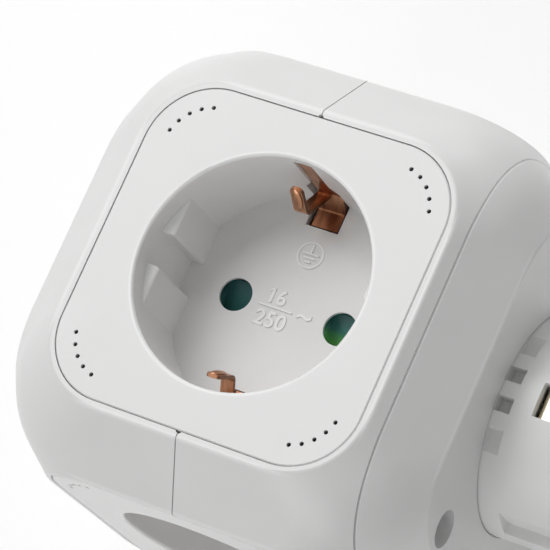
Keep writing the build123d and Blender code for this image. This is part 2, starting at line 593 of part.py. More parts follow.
def earth_contact():
    """Corner piece between two wells: in each a foot at the floor, a leg in the wall and a sprung finger."""
    foot_z = FLOOR - EARTH_SHEET / 2
    leg = [(EARTH_FOOT, foot_z), (EARTH_FOLD, foot_z), (EARTH_LEG, FLOOR + EARTH_RISE), (EARTH_LEG, HALF)]
    half = earth_strip(leg, EARTH_BEND, EARTH_LOW_X, EARTH_HIGH_X)
    upper = [(TAIL_TOP - TAIL_WIDTH, TAIL_TOP), (EARTH_FOLD, foot_z), (EARTH_LEG, FLOOR + EARTH_RISE)]
    outline = Polyline(*upper, *[(z, y) for y, z in reversed(upper)], close=True)
    half += extrude(Plane.YZ.offset(EARTH_HIGH_X - EARTH_SHEET) * make_face(outline), EARTH_SHEET)
    swap_sides = Plane(origin=(0, 0, 0), z_dir=(0, 1, -1))
    room = slot_section(EARTH_PLAY, 0)
    half &= room
    half &= mirror(room, swap_sides)
    half += earth_finger()
    return half + mirror(half, swap_sides)


def earth_frame():
    """Square frame that joins the corner pieces, with a tail along each corner of the core."""
    ring = Plane.YZ.offset(FRAME_X) * (Rectangle(2 * FRAME_OUTER, 2 * FRAME_OUTER)
                                      - Rectangle(2 * FRAME_INNER, 2 * FRAME_INNER))
    frame = extrude(ring, FRAME_SHEET)
    tail = Box(FRAME_X - EARTH_HIGH_X, TAIL_WIDTH, EARTH_SHEET, align=(Align.MIN, Align.MAX, Align.MAX))
    tail = Pos(EARTH_HIGH_X, TAIL_TOP, TAIL_TOP) * tail
    frame += [Rot(turn, 0, 0) * tail for turn in CORNERS.values()]
    return frame


def wire(route, radius):
    """Stiff round wire, folded from run to run."""
    path = Polyline(*route)
    return sweep(Plane(origin=path @ 0, z_dir=path % 0) * Circle(radius), path, transition=Transition.RIGHT)


def usb_panel():
    """Flush panel on the USB end, with the ports' openings and the posts that carry the board."""
    panel = Rot(0, -90, 0) * flush_panel()
    post = rod(POST_RADIUS, -BOARD_FACE_X, -PANEL_BACK)
    opening = Box(4 * PANEL_THICK, PORT_WIDTH + 2 * PORT_GAP, PORT_HEIGHT + 2 * PORT_GAP)
    for y in (-POST_PLACE, POST_PLACE):
        panel += [Pos(0, y, z) * post for z in (-POST_PLACE, POST_PLACE)]
    panel -= [Pos(-HALF, y, 0) * opening for y in (-PORT_PITCH / 2, PORT_PITCH / 2)]
    return panel


def usb_board():
    """Circuit board behind the USB panel."""
    outline = RectangleRounded(BOARD, BOARD, BOARD_CORNER)
    return extrude(Plane.YZ.offset(-BOARD_FACE_X) * outline, BOARD_THICK)


def usb_port(y):
    """Steel shell of a port: a tube that stands on the board."""
    length = HALF - PORT_INSET - BOARD_FACE_X
    tube = Rectangle(PORT_WIDTH, PORT_HEIGHT)
    tube -= Rectangle(PORT_WIDTH - 2 * PORT_SHEET, PORT_HEIGHT - 2 * PORT_SHEET)
    return Pos(0, y, 0) * extrude(Plane.YZ.offset(-BOARD_FACE_X - length) * tube, length)


def usb_tongue(y):
    """Plastic tongue of a port on its base."""
    base = Rectangle(PORT_WIDTH - 2 * PORT_SHEET - 2 * FIT_GAP, PORT_HEIGHT - 2 * PORT_SHEET - 2 * FIT_GAP)
    tongue = extrude(Plane.YZ.offset(-BOARD_FACE_X - TONGUE_BASE) * base, TONGUE_BASE)
    length = HALF - TONGUE_INSET - BOARD_FACE_X
    blade = Plane.YZ.offset(-BOARD_FACE_X - length) * Rectangle(TONGUE_WIDTH, TONGUE_THICK)
    return Pos(0, y, 0) * (tongue + Pos(0, 0, TONGUE_OFFSET) * extrude(blade, length))


def usb_transformer():
    """Transformer: a winding inside its core."""
    standing = (Align.MAX, Align.CENTER, Align.CENTER)
    winding = Box(BOARD_HEADROOM - WINDING_ROOM, WINDING_WIDTH, WINDING_LENGTH, align=standing)
    ferrite = Box(BOARD_HEADROOM - FERRITE_ROOM, FERRITE_WIDTH, FERRITE_THICK, align=standing)
    return Pos(-BOARD_FACE_X, TRANSFORMER_INSET - POST_PLACE, ROW_PLACE) * (winding + ferrite)


def usb_capacitors():
    """Round capacitors on the board, in rows beside the posts."""
    cans = []
    for inset, side, radius, room in CAPACITORS:
        can = rod(radius, room - BOARD_HEADROOM, 0)
        cans.append(Pos(-BOARD_FACE_X, POST_PLACE - inset, side * ROW_PLACE) * can)
    return Part() + cans


def save(name, shape, turn=0):
    """Write one piece, turned about the plug's axis and lifted to stand on the ground."""
    export_step(Pos(-MIDDLE_X, 0, HALF) * Rot(turn, 0, 0) * shape, f"parts/{name}.step")


def main():
    os.makedirs("parts", exist_ok=True)
    left, right, cap = housing()
    save("shell_left", left)
    save("shell_right", shell_bosses(right))
    save("end_cap", end_cap(cap))
    save("housing_screws", housing_screws())
    save("plug_face", plug_face())
    save("plug_pin_live", plug_pin(PIN_X))
    save("plug_pin_neutral", plug_pin(-PIN_X))
    save("plug_earth_strip_upper", plug_earth_strip(0))
    save("plug_earth_strip_lower", plug_earth_strip(180))
    insert = socket_insert()
    slider = shutter()
    spring = shutter_spring()
    for name, turn in TURNS.items():
        save(f"socket_{name}", insert, turn)
        save(f"shutter_{name}", slider, turn)
        save(f"shutter_spring_{name}", spring, turn)
    corner = earth_contact()
    for name, turn in CORNERS.items():
        save(f"earth_contact_{name}", corner, turn)
    save("earth_frame", earth_frame())
    save("contact_core", contact_core())
    save("core_cover_left", core_cover(-1))
    save("core_cover_right", core_cover(1))
    save("contact_live", contact_star(-1))
    save("contact_neutral", contact_star(1))
    pin_back = PLUG_FRONT - PIN_BOSS_LENGTH - PIN_TAIL
    star_face = STAR_X + STAR_SHEET
    board_back = BOARD_THICK - BOARD_FACE_X
    save("wire_neutral", wire([(pin_back, -PIN_X, 0), (star_face, -PIN_X, 0)], WIRE_RADIUS))
    live_route = [(pin_back, PIN_X, 0), (WIRE_DROP_X, PIN_X, 0), (WIRE_DROP_X - WIRE_SLANT, CHANNEL, CHANNEL)]
    live_route += [(-WIRE_TURN_X, CHANNEL, CHANNEL), (-WIRE_TURN_X, PIN_X, 0), (-star_face, PIN_X, 0)]
    save("wire_live", wire(live_route, WIRE_RADIUS))
    save("usb_lead_live", wire([(-star_face, 0, PIN_X), (board_back, 0, PIN_X)], LEAD_RADIUS))
    lead_route = [(star_face, 0, PIN_X), (WIRE_TURN_X, 0, PIN_X), (WIRE_TURN_X, -CHANNEL, CHANNEL)]
    lead_route += [(board_back, -CHANNEL, CHANNEL)]
    save("usb_lead_neutral", wire(lead_route, LEAD_RADIUS))
    save("usb_panel", usb_panel())
    save("usb_board", usb_board())
    for index, y in enumerate((-PORT_PITCH / 2, PORT_PITCH / 2), 1):
        save(f"usb_port_{index}", usb_port(y))
        save(f"usb_tongue_{index}", usb_tongue(y))
    save("usb_transformer", usb_transformer())
    save("usb_capacitors", usb_capacitors())


main()
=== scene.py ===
import json
import math

import bmesh
import bpy
from mathutils import Matrix, Vector


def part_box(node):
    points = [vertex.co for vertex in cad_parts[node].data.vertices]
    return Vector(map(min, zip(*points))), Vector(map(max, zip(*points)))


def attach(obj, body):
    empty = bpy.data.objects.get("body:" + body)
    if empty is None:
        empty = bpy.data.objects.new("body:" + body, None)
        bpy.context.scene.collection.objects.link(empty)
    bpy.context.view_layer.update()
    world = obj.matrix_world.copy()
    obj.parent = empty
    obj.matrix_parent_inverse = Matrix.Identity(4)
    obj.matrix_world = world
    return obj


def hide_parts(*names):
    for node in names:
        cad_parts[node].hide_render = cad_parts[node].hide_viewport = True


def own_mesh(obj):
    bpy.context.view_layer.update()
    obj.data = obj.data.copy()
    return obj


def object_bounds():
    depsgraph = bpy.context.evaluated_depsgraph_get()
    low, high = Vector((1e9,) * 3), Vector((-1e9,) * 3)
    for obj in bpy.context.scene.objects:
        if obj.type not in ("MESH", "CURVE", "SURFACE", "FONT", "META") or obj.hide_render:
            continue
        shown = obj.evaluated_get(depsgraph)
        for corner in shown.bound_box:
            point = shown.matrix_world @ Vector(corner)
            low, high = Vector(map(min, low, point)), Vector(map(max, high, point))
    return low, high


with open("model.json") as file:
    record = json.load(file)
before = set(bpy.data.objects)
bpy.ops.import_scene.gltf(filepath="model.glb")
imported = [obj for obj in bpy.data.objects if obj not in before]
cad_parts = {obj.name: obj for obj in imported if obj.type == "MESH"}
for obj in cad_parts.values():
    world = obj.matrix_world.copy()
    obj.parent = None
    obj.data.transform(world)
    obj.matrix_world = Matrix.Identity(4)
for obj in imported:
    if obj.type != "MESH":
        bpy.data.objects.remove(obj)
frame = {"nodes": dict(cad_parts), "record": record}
cad_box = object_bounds()

MM = 0.001

# The cube: its half width, and its middle, on the axis that the four sockets stand round.
# Distances on the cube and in its sockets are taken from that middle.
lowest, highest = cad_box
PANEL_FACE = (highest.z - lowest.z) / 2
CUBE_MIDDLE = Vector((lowest.x + PANEL_FACE, 0.0, lowest.z + PANEL_FACE))
PANEL_THICK = 2.2 * MM
PANEL_BACK = PANEL_FACE - PANEL_THICK
# Half of a flat between the chamfers.
FLAT_HALF = 28.0 * MM
# Where the end cap meets the shell, how wide its broken edge is there, and how far that edge leans back;
# that edge also carries a painted highlight.
CAP_SEAM = 29.7 * MM
SEAM_EDGE = 0.15 * MM
SEAM_FADE = 0.4 * MM
SEAM_LEAN = 1.2
# Middle of the round corners along each axis, and where they run out into the chamfers.
CORNER_MIDDLE = 18.658 * MM
CORNER_END = 32.8 * MM

# The top socket, and the turn of each socket from it about the cube's long axis, in degrees.
SOCKET_TURNS = {"top": 0.0, "front": 90.0, "bottom": 180.0, "back": 270.0}
WELL_RADIUS = 19.3 * MM
WELL_FLOOR = 20.2 * MM
# Where the guide ribs' sloping tops lie, and how near they come to the well's axis, which places the
# painted highlight on them.
RIB_TOP = 33.5 * MM
RIB_REACH = 16.9 * MM
# Middle of a panel's round corner, and the radius of its row of vent holes, which places the painted shade
# in them.
PANEL_CORNER = 15.65 * MM
VENT_ARC = 7.8 * MM

# Raised marks on a well's floor: how far out they reach, and the earth sign's place and lines.
# A line of the sign is as high as it is wide.
MARK_REACH = 14.0 * MM
SIGN_X = -0.28 * MM
SIGN_Y = 9.8 * MM
SIGN_LINE = 0.32 * MM
SIGN_RING = 2.15 * MM
SIGN_RING_WIRE = 0.22 * MM
SIGN_RING_RISE = 0.04 * MM
SIGN_STEM = 1.7 * MM
SIGN_STEM_UP = 0.95 * MM
# How far up the sign's three bars lie, with the length of each, in millimetres.
SIGN_BARS = {0.15: 3.0, -0.55: 2.1, -1.25: 1.1}

# Rating figures: the size of each, and the place of the middle of its foot, in millimetres.
RATING_FIGURES = {"16": (3.5, -2.6, 0.55), "250": (3.7, -2.1, -3.4), "~": (4.4, 3.15, -1.25)}
RATING_HEIGHT = 0.28 * MM
RATING_LINE = 0.3 * MM
# How much bolder than its font a figure is.
FIGURE_SWELL = 0.015 * MM
# The line between the numbers, and the flag that the figure 1 carries.
RULE_LENGTH = 6.1 * MM
RULE_X = -2.15 * MM
RULE_Y = -0.1 * MM
FLAG_LENGTH = 0.9 * MM
FLAG_X = -3.75 * MM
FLAG_Y = 2.65 * MM
FLAG_TURN = math.radians(40.0)
# The bevels' shares of a bar's smaller side and of a figure's height.
BAR_BEVEL = 0.3
FIGURE_BEVEL = 0.25

# Middle of the inner face of the back earth finger's tip, the tip's lean, and half its pad's sizes.
FINGER_TIP = Vector((-1.25, 15.07, 30.72)) * MM
FINGER_LEAN = math.radians(68.75)
FINGER_PAD = Vector((0.95, 2.2, 0.45)) * MM
# Share of the pad's height that lies in the finger, and the sharpest edge that is shaded smooth.
PAD_SUNK = 0.1
PAD_SMOOTH = math.radians(50.0)

# Springs behind the shutters: the top one's box, and the sheet, feet, span and bends of its zigzag.
spring_low, spring_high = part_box("shutter_spring_top")
SPRING_LENGTH = spring_high.y - spring_low.y
SPRING_HEIGHT = spring_high.z - spring_low.z
SPRING_LEVEL = (spring_high.z + spring_low.z) / 2 - CUBE_MIDDLE.z
SPRING_END = spring_high.y
SPRING_SHEET = 0.4 * MM
SPRING_FOOT = 4.0 * MM
SPRING_SPAN = 16.0 * MM
SPRING_BEND = 1.0 * MM
SPRING_LEGS = 3
SPRING_PITCH = (SPRING_LENGTH - SPRING_SHEET) / SPRING_LEGS
# The two ends of an upright edge lie this close in plan.
UPRIGHT_PLAY = 0.01 * MM

# USB supply: the ports' places along Y, and the contact strips on a tongue.
PORT_PLACES = {1: -9.5 * MM, 2: 9.5 * MM}
# Place of each strip along Y, with its length, in millimetres.
STRIP_LENGTHS = {-3.5: 7.4, -1.0: 6.4, 1.0: 6.4, 3.5: 7.4}
STRIP_START = -35.8 * MM
STRIP_LEVEL = -0.35 * MM
STRIP_WIDTH = 1.0 * MM
STRIP_SHEET = 0.2 * MM
# Height of the transformer's middle, and half the thickness of its core.
winding_low, winding_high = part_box("usb_transformer")
WINDING_LEVEL = (winding_high.z + winding_low.z) / 2 - CUBE_MIDDLE.z
FERRITE_HALF = 2.3 * MM

# The photograph's camera: its place, its turns in degrees, and its focal length in the photo's pixels.
CAMERA_PLACE = Vector((0.21592, -0.11079, 0.53999))
CAMERA_HEADING = 64.1322
CAMERA_TILT = 28.8259
CAMERA_ROLL = -42.6944
FOCAL_PIXELS = 3489.83
PHOTO_PIXELS = 550
SENSOR_WIDTH = 36.0

# The floor, and how far out it starts to look whiter and is white.
FLOOR_SIDE = 6.0
FLOOR_LEVEL = -0.2 * MM
FLOOR_NEAR = 0.3
FLOOR_FAR = 1.6

# Light: each lamp's place and power, and the share of the sky's light that falls on surfaces.
LAMP_SIDE = 0.8
LAMP_AIM = Vector((CUBE_MIDDLE.x, 0.0, 0.05))
LAMPS = {
    "key_lamp": (Vector((-0.62, 0.42, 1.18)), 8.1),
    "back_lamp": (Vector((-0.3, 1.13, 0.55)), 3.6),
    "front_lamp": (Vector((0.0, -1.2, 0.42)), 3.4),
}
SKY_SHARE = 0.275

# The moulding's white, darkest and lightest.
WHITE = ((0.83, 0.83, 0.825), (0.86, 0.86, 0.855))
# Stretch of a noise along X, Y and Z: none, streaks along X, and streaks across it.
EVEN = (1.0, 1.0, 1.0)
LENGTHWISE = (0.15, 1.0, 1.0)
CROSSWISE = (1.8, 0.22, 0.22)

# The colour sockets of a Mix node.
MIX_FIRST = 6
MIX_SECOND = 7
MIX_RESULT = 2


class Value:
    """A shader socket; operators on it add Math nodes."""

    def __init__(self, nodes, socket):
        self.nodes = nodes
        self.socket = socket

    def math(self, operation, *others):
        values = dict(enumerate((self, *others)))
        return self.nodes.node("ShaderNodeMath", {"operation": operation}, values)

    def __add__(self, other):
        return self.math("ADD", other)

    __radd__ = __add__

    def __mul__(self, other):
        return self.math("MULTIPLY", other)

    __rmul__ = __mul__

    def __sub__(self, other):
        return self.math("SUBTRACT", other)

    def __rsub__(self, other):
        return (self * -1.0) + other

    def __abs__(self):
        return self.math("ABSOLUTE")

    def most(self, other):
        return self.math("MAXIMUM", other)

    def least(self, other):
        return self.math("MINIMUM", other)

    def root(self):
        return self.math("SQRT")

    def step(self, low, high):
        """0 below low, 1 above high and smooth between them."""
        settings = {"interpolation_type": "SMOOTHSTEP"}
        values = {"Value": self, "From Min": low, "From Max": high}
        return self.nodes.node("ShaderNodeMapRange", settings, values)

    def under(self, low, high):
        """1 below low, 0 above high and smooth between them."""
        return 1.0 - self.step(low, high)

    def near(self, middle, within, beyond):
        """1 within a distance of the middle, 0 beyond a wider one and smooth between them."""
        return abs(self - middle).under(within, beyond)


class Nodes:
    """A shader's node tree."""

    def __init__(self, tree):
        self.tree = tree

    def node(self, kind, settings=None, values=None, output=0):
        """A node with its settings, then its sockets' values or links."""
        node = self.tree.nodes.new(kind)
        for key, value in (settings or {}).items():
            if key == "stops":
                ramp = node.color_ramp.elements
                for index, (place, colour) in enumerate(value):
                    stop = ramp[index] if index < len(ramp) else ramp.new(place)
                    stop.position = place
                    stop.color = (*colour, 1.0)
            else:
                setattr(node, key, value)
        for key, value in (values or {}).items():
            if isinstance(value, Value):
                self.link(value, node.inputs[key])
            else:
                node.inputs[key].default_value = value
        return Value(self, node.outputs[output])

    def link(self, value, socket):
        """A value led to a node's socket."""
        self.tree.links.new(value.socket, socket)

    def seen(self):
        """1 for what the camera, a reflection or glass shows, 0 for light on surfaces."""
        rays = self.node("ShaderNodeLightPath").socket.node.outputs
        names = ("Is Camera Ray", "Is Glossy Ray", "Is Transmission Ray")
        camera, glossy, through = (Value(self, rays[name]) for name in names)
        return camera.most(glossy).most(through)


class Finish(Nodes):
    """One procedural material around a Principled shader."""

    def __init__(self, name, **constants):
        self.material = bpy.data.materials.new(name)
        self.material.use_nodes = True
        super().__init__(self.material.node_tree)
        self.shader = self.tree.nodes["Principled BSDF"]
        for socket, value in constants.items():
            self.shader.inputs[socket.replace("_", " ")].default_value = value

    def feed(self, socket, value):
        """A value led to the shader."""
        self.link(value, self.shader.inputs[socket])

    def place(self):
        """Where a point of the surface lies."""
        return self.node("ShaderNodeTexCoord", output="Object")

    def normal(self):
        """The surface's own normal."""
        return self.node("ShaderNodeNewGeometry", output="Normal")

    def split(self, vector):
        """X, Y and Z of a vector."""
        outputs = self.node("ShaderNodeSeparateXYZ", {}, {"Vector": vector}).socket.node.outputs
        return [Value(self, output) for output in outputs]

    def axes(self):
        """Distances from the cube's middle along X, Y and Z, without their signs."""
        return [abs(spot - middle) for spot, middle in zip(self.split(self.place()), CUBE_MIDDLE)]

    def vector(self, operation, *others, output="Vector"):
        """A sum with vectors."""
        values = dict(enumerate(others))
        return self.node("ShaderNodeVectorMath", {"operation": operation}, values, output)

    def mix(self, share, first, second):
        """One colour over another; each is a link or a plain colour."""
        values = {"Factor": share}
        for key, colour in ((MIX_FIRST, first), (MIX_SECOND, second)):
            values[key] = colour if isinstance(colour, Value) else (*colour, 1.0)
        return self.node("ShaderNodeMix", {"data_type": "RGBA"}, values, MIX_RESULT)

    def noise(self, scale, detail=2.0, stretch=EVEN):
        """Noise, finer along an axis with a larger stretch."""
        spot = self.node("ShaderNodeMapping", {}, {"Vector": self.place(), "Scale": stretch})
        return self.node("ShaderNodeTexNoise", {}, {"Vector": spot, "Scale": scale, "Detail": detail})

    def ramp(self, factor, *stops):
        """A colour by a factor, between stops."""
        return self.node("ShaderNodeValToRGB", {"stops": stops}, {"Fac": factor})

    def cloud(self, dark, light, scale=70.0):
        """A faint cloud between two tones."""
        return self.ramp(self.noise(scale, detail=3.0), (0.3, dark), (0.7, light))

    def roughen(self, rough, spread, scale, detail=2.0, stretch=EVEN):
        """An uneven gloss."""
        self.feed("Roughness", self.noise(scale, detail, stretch) * spread + rough)

    def bump(self, height, distance, strength, **base):
        """Fine relief, on the surface's normal or on another base."""
        values = {"Height": height, "Distance": distance, "Strength": strength, **base}
        self.feed("Normal", self.node("ShaderNodeBump", {}, values))

    def mould(self, rough, grain, grain_height, **base):
        """The skin of a moulding: uneven gloss and a fine grain."""
        self.roughen(rough, spread=0.1, scale=220.0)
        self.bump(self.noise(grain), grain_height, strength=0.35, **base)


def moulded(name, dark, light, rough, grain, grain_height=0.02 * MM):
    """Moulded plastic with a faint cloud in its colour."""
    finish = Finish(name, Specular_IOR_Level=0.5)
    finish.feed("Base Color", finish.cloud(dark, light))
    finish.mould(rough, grain, grain_height)
    return finish


def corner_normal(finish, spot):
    """The surface's normal, and the round corner's own where a corner runs out in a point."""
    size = finish.vector("ABSOLUTE", spot)
    signs = finish.vector("DIVIDE", spot, size)
    outward = finish.vector("SUBTRACT", size, [CORNER_MIDDLE] * 3)
    outward = finish.vector("NORMALIZE", finish.vector("MULTIPLY", outward, signs))
    gaps = []
    for axis in range(3):
        end = [CORNER_END] * 3
        end[axis] = CORNER_MIDDLE
        gaps.append(finish.vector("DISTANCE", size, end, output="Value"))
    gap = gaps[0].least(gaps[1]).least(gaps[2])
    return finish.mix(gap.step(0.8 * MM, 1.5 * MM), outward, finish.normal())


def shell_plastic():
    """The housing's plastic: a painted highlight on its flats' rims, and a broken edge on the end cap at
    its seam, which leans back and carries a painted highlight too.
    """
    finish = Finish("shell_plastic", Specular_IOR_Level=0.5)
    spot = finish.vector("SUBTRACT", finish.place(), CUBE_MIDDLE)
    past_seam = finish.split(spot)[0] - CAP_SEAM
    edge = past_seam.math("GREATER_THAN", 0.0) * past_seam.under(SEAM_EDGE, SEAM_FADE)
    along, side, height = finish.axes()
    depth = along.most(side).most(height)
    second = along + side + height - depth - along.least(side).least(height)
    rim = second.near(FLAT_HALF, within=0.2 * MM, beyond=0.6 * MM)
    rim = rim * depth.step(PANEL_FACE - 0.6 * MM, PANEL_FACE)
    # Painted highlight: the flats' rims and the cap's broken edge are made lighter, as if light caught
    # them.
    painted_highlight = (0.95, 0.95, 0.945)
    finish.feed("Base Color", finish.mix(rim.most(edge), finish.cloud(*WHITE), painted_highlight))
    lean = finish.node("ShaderNodeCombineXYZ", {}, {"X": edge * -SEAM_LEAN})
    normal = finish.vector("NORMALIZE", finish.vector("ADD", corner_normal(finish, spot), lean))
    finish.mould(rough=0.28, grain=1400.0, grain_height=0.02 * MM, Normal=normal)
    return finish


def vent_shade_mask(along, level, depth):
    """Mask of painted shade on the walls of a panel's vent holes, which fades out towards its face."""
    across = along - PANEL_CORNER
    up = level - PANEL_CORNER
    row = (across * across + up * up).root().near(VENT_ARC, within=1.0 * MM, beyond=1.2 * MM)
    row = row * across.least(up).step(-1.0 * MM, 0.0)
    inside = depth.step(PANEL_BACK - 0.2 * MM, PANEL_BACK)
    return row * inside * depth.under(PANEL_FACE - 0.9 * MM, PANEL_FACE - 0.02 * MM)


def socket_plastic():
    """White socket plastic: satin on the panel, glossier and with a painted highlight round the well's
    mouth, a painted highlight on the ribs' tops and on the raised marks, an eroded grain on the well's
    floor and painted shade in the vent holes."""
    finish = Finish("socket_plastic", Specular_IOR_Level=0.45)
    # Each mask is made of bands of depth, distance and radius, with two sizes that it fades between.
    along, side, height = finish.axes()
    depth = side.most(height)
    level = side.least(height)
    radius = (along * along + level * level).root()
    floor = depth.under(WELL_FLOOR + 0.1 * MM, WELL_FLOOR + 0.4 * MM)
    # The USB panel, which has this finish too, lies further along.
    floor = floor * along.under(FLAT_HALF, FLAT_HALF + 1.0 * MM)
    # Painted highlight: the raised marks, the well's mouth and the ribs' tops are made lighter, as if light
    # caught them.
    marks = depth.step(WELL_FLOOR + 0.06 * MM, WELL_FLOOR + 0.2 * MM)
    marks = marks * depth.under(WELL_FLOOR + 0.5 * MM, WELL_FLOOR + 0.6 * MM)
    marks = marks * radius.under(MARK_REACH, MARK_REACH + 0.5 * MM)
    mouth = radius.near(WELL_RADIUS + 0.15 * MM, within=0.3 * MM, beyond=0.7 * MM)
    mouth = mouth * depth.step(PANEL_FACE - 1.0 * MM, PANEL_FACE - 0.4 * MM)
    tops = depth.near(RIB_TOP, within=0.3 * MM, beyond=0.6 * MM)
    tops = tops * along.step(RIB_REACH - 0.4 * MM, RIB_REACH)
    tops = tops * radius.under(WELL_RADIUS - 0.3 * MM, WELL_RADIUS - 0.1 * MM)
    painted_highlight = (0.96, 0.96, 0.955)
    # Painted shade: the vent holes' walls are darkened deeper down, as if no light reached them.
    shade = (0.1, 0.1, 0.1)
    white = finish.mix(mouth.most(marks).most(tops), finish.cloud(*WHITE, scale=60.0), painted_highlight)
    finish.feed("Base Color", finish.mix(vent_shade_mask(along, level, depth), white, shade))
    finish.feed("Roughness", finish.noise(240.0) * 0.08 + 0.26 + floor * 0.24 - mouth * 0.1)
    grain = finish.noise(2600.0) * (floor * 0.8 + 0.2)
    finish.bump(grain, distance=0.05 * MM, strength=0.4)
    return finish


def metal(name, dark, light, rough, spread, scale, stretch=LENGTHWISE):
    """Metal sheet or bar with streaks along its rolling direction."""
    finish = Finish(name, Metallic=1.0)
    streaks = finish.noise(scale, detail=4.0, stretch=stretch)
    finish.feed("Base Color", finish.ramp(streaks, (0.3, dark), (0.72, light)))
    finish.roughen(rough, spread, scale=scale * 0.6, detail=3.0, stretch=stretch)
    finish.bump(streaks, distance=0.01 * MM, strength=0.3)
    return finish


def shutter_plastic():
    """Green shutter plastic, with painted light and shade: darker and bluer in shade towards its left end
    and its back edge, lighter and greener where light falls towards its right end and front.
    """
    finish = Finish("shutter_plastic", Specular_IOR_Level=0.5)
    x, y = finish.split(finish.place())[:2]
    right = (x - CUBE_MIDDLE.x).step(-9.0 * MM, 9.0 * MM)
    # Y is wrapped halfway out to the shutters, so that the front and back ones have a middle tone of the
    # painted light and shade.
    halfway = 8.3 * MM
    front = y.math("WRAP", halfway, -halfway).under(-2.0 * MM, 1.8 * MM)
    # Painted light and shade: the blue stop is the shaded tone and the green stop the lit one.
    light_and_shade = right * 0.12 + front * (right * 0.63 + 0.25)
    cloud = finish.noise(160.0, detail=3.0) * 0.16 - 0.08
    blue = (0.035, 0.15, 0.16)
    middle = (0.07, 0.27, 0.23)
    green = (0.26, 0.74, 0.2)
    finish.feed("Base Color", finish.ramp(light_and_shade + cloud, (0.0, blue), (0.4, middle), (1.0, green)))
    finish.roughen(rough=0.25, spread=0.1, scale=300.0)
    finish.bump(finish.noise(800.0), distance=0.02 * MM, strength=0.35)
    return finish


def copper_strip():
    """Copper alloy sheet: fine drawn streaks, darker towards the well's floor, and painted shade on the cut
    edges.
    """
    finish = Finish("copper_strip", Metallic=1.0)
    side, height = finish.axes()[1:]
    # The sheet is darker towards the well's floor and lighter further up.
    bright = side.most(height).step(WELL_FLOOR + 0.4 * MM, WELL_FLOOR + 4.5 * MM)
    streaks = finish.noise(900.0, detail=4.0, stretch=CROSSWISE)
    darker_tone = finish.ramp(streaks, (0.32, (0.15, 0.06, 0.03)), (0.7, (0.29, 0.125, 0.066)))
    lighter_tone = finish.ramp(streaks, (0.32, (0.43, 0.2, 0.11)), (0.7, (0.78, 0.43, 0.255)))
    sheet = finish.mix(bright, darker_tone, lighter_tone)
    # Painted shade: the sheet's cut edges, which face sideways, are darkened as if they lay in shade.
    sideways = abs(finish.split(finish.normal())[0])
    painted_edge_shade = (0.17, 0.075, 0.04)
    finish.feed("Base Color", finish.mix(sideways.step(0.6, 0.9) * bright, sheet, painted_edge_shade))
    finish.roughen(rough=0.22, spread=0.2, scale=500.0, detail=3.0, stretch=CROSSWISE)
    finish.bump(streaks, distance=0.012 * MM, strength=0.35)
    return finish


def board_finish():
    """Green solder mask with paler tracks under it."""
    finish = Finish("board_mask", Specular_IOR_Level=0.5)
    tracks = finish.node("ShaderNodeTexBrick", {}, {"Vector": finish.place(), "Scale": 160.0})
    finish.feed("Base Color", finish.ramp(tracks, (0.2, (0.01, 0.12, 0.05)), (0.8, (0.03, 0.2, 0.08))))
    finish.roughen(rough=0.3, spread=0.1, scale=300.0)
    return finish


def winding_finish():
    """Dark ferrite core round a winding in yellow tape, which shows above and below it."""
    finish = Finish("winding", Specular_IOR_Level=0.4)
    height = finish.axes()[2]
    tape = abs(height - WINDING_LEVEL).step(FERRITE_HALF, FERRITE_HALF + 0.1 * MM)
    finish.feed("Base Color", finish.ramp(tape, (0.0, (0.02, 0.02, 0.022)), (1.0, (0.62, 0.45, 0.06))))
    finish.roughen(rough=0.45, spread=0.2, scale=400.0)
    return finish


def make_finishes():
    """The finish of every material slot."""
    return {
        "shell": shell_plastic(),
        "panel": socket_plastic(),
        "plug_face": moulded("plug_plastic", *WHITE, rough=0.35, grain=1500.0, grain_height=0.03 * MM),
        "steel": metal("zinc_plate", (0.5, 0.5, 0.51), (0.66, 0.66, 0.66),
                       rough=0.25, spread=0.2, scale=900.0, stretch=EVEN),
        "spring_steel": metal("spring_steel", (0.4, 0.4, 0.42), (0.55, 0.55, 0.56),
                              rough=0.25, spread=0.15, scale=900.0),
        "nickel": metal("nickel_plate", (0.66, 0.64, 0.6), (0.78, 0.76, 0.72),
                        rough=0.14, spread=0.12, scale=700.0),
        "strip": metal("plated_strip", (0.62, 0.56, 0.42), (0.76, 0.7, 0.55),
                       rough=0.2, spread=0.15, scale=700.0),
        "shutter": shutter_plastic(),
        "copper": copper_strip(),
        "contact": metal("brass_contact", (0.5, 0.36, 0.13), (0.72, 0.55, 0.24),
                         rough=0.25, spread=0.15, scale=600.0),
        "core": moulded("core_plastic", (0.62, 0.6, 0.54), (0.68, 0.66, 0.6),
                        rough=0.5, grain=700.0, grain_height=0.03 * MM),
        "wire_live": moulded("brown_insulation", (0.1, 0.04, 0.015), (0.14, 0.06, 0.025),
                             rough=0.45, grain=900.0),
        "wire_neutral": moulded("blue_insulation", (0.01, 0.04, 0.2), (0.02, 0.06, 0.27),
                                rough=0.45, grain=900.0),
        "board": board_finish(),
        "tongue": moulded("tongue_plastic", (0.7, 0.7, 0.69), (0.76, 0.76, 0.75), rough=0.4, grain=900.0),
        "ferrite": winding_finish(),
        "capacitor": moulded("capacitor_sleeve", (0.01, 0.012, 0.03), (0.02, 0.025, 0.05),
                             rough=0.3, grain=600.0),
    }


def dress_nodes(finishes):
    """Give each CAD node the finish of its slot."""
    for part in frame["record"]["subparts"]:
        materials = frame["nodes"][part["node"]].data.materials
        materials.clear()
        materials.append(finishes[part["material_slot"]].material)


def start_piece():
    """Nothing selected, ready for the next primitive."""
    bpy.ops.object.select_all(action="DESELECT")


def active_piece():
    """The piece that the last operator made."""
    return bpy.context.view_layer.objects.active


def apply_place():
    """The selected pieces' places, turns and sizes put into their meshes."""
    bpy.ops.object.transform_apply(location=True, rotation=True, scale=True)


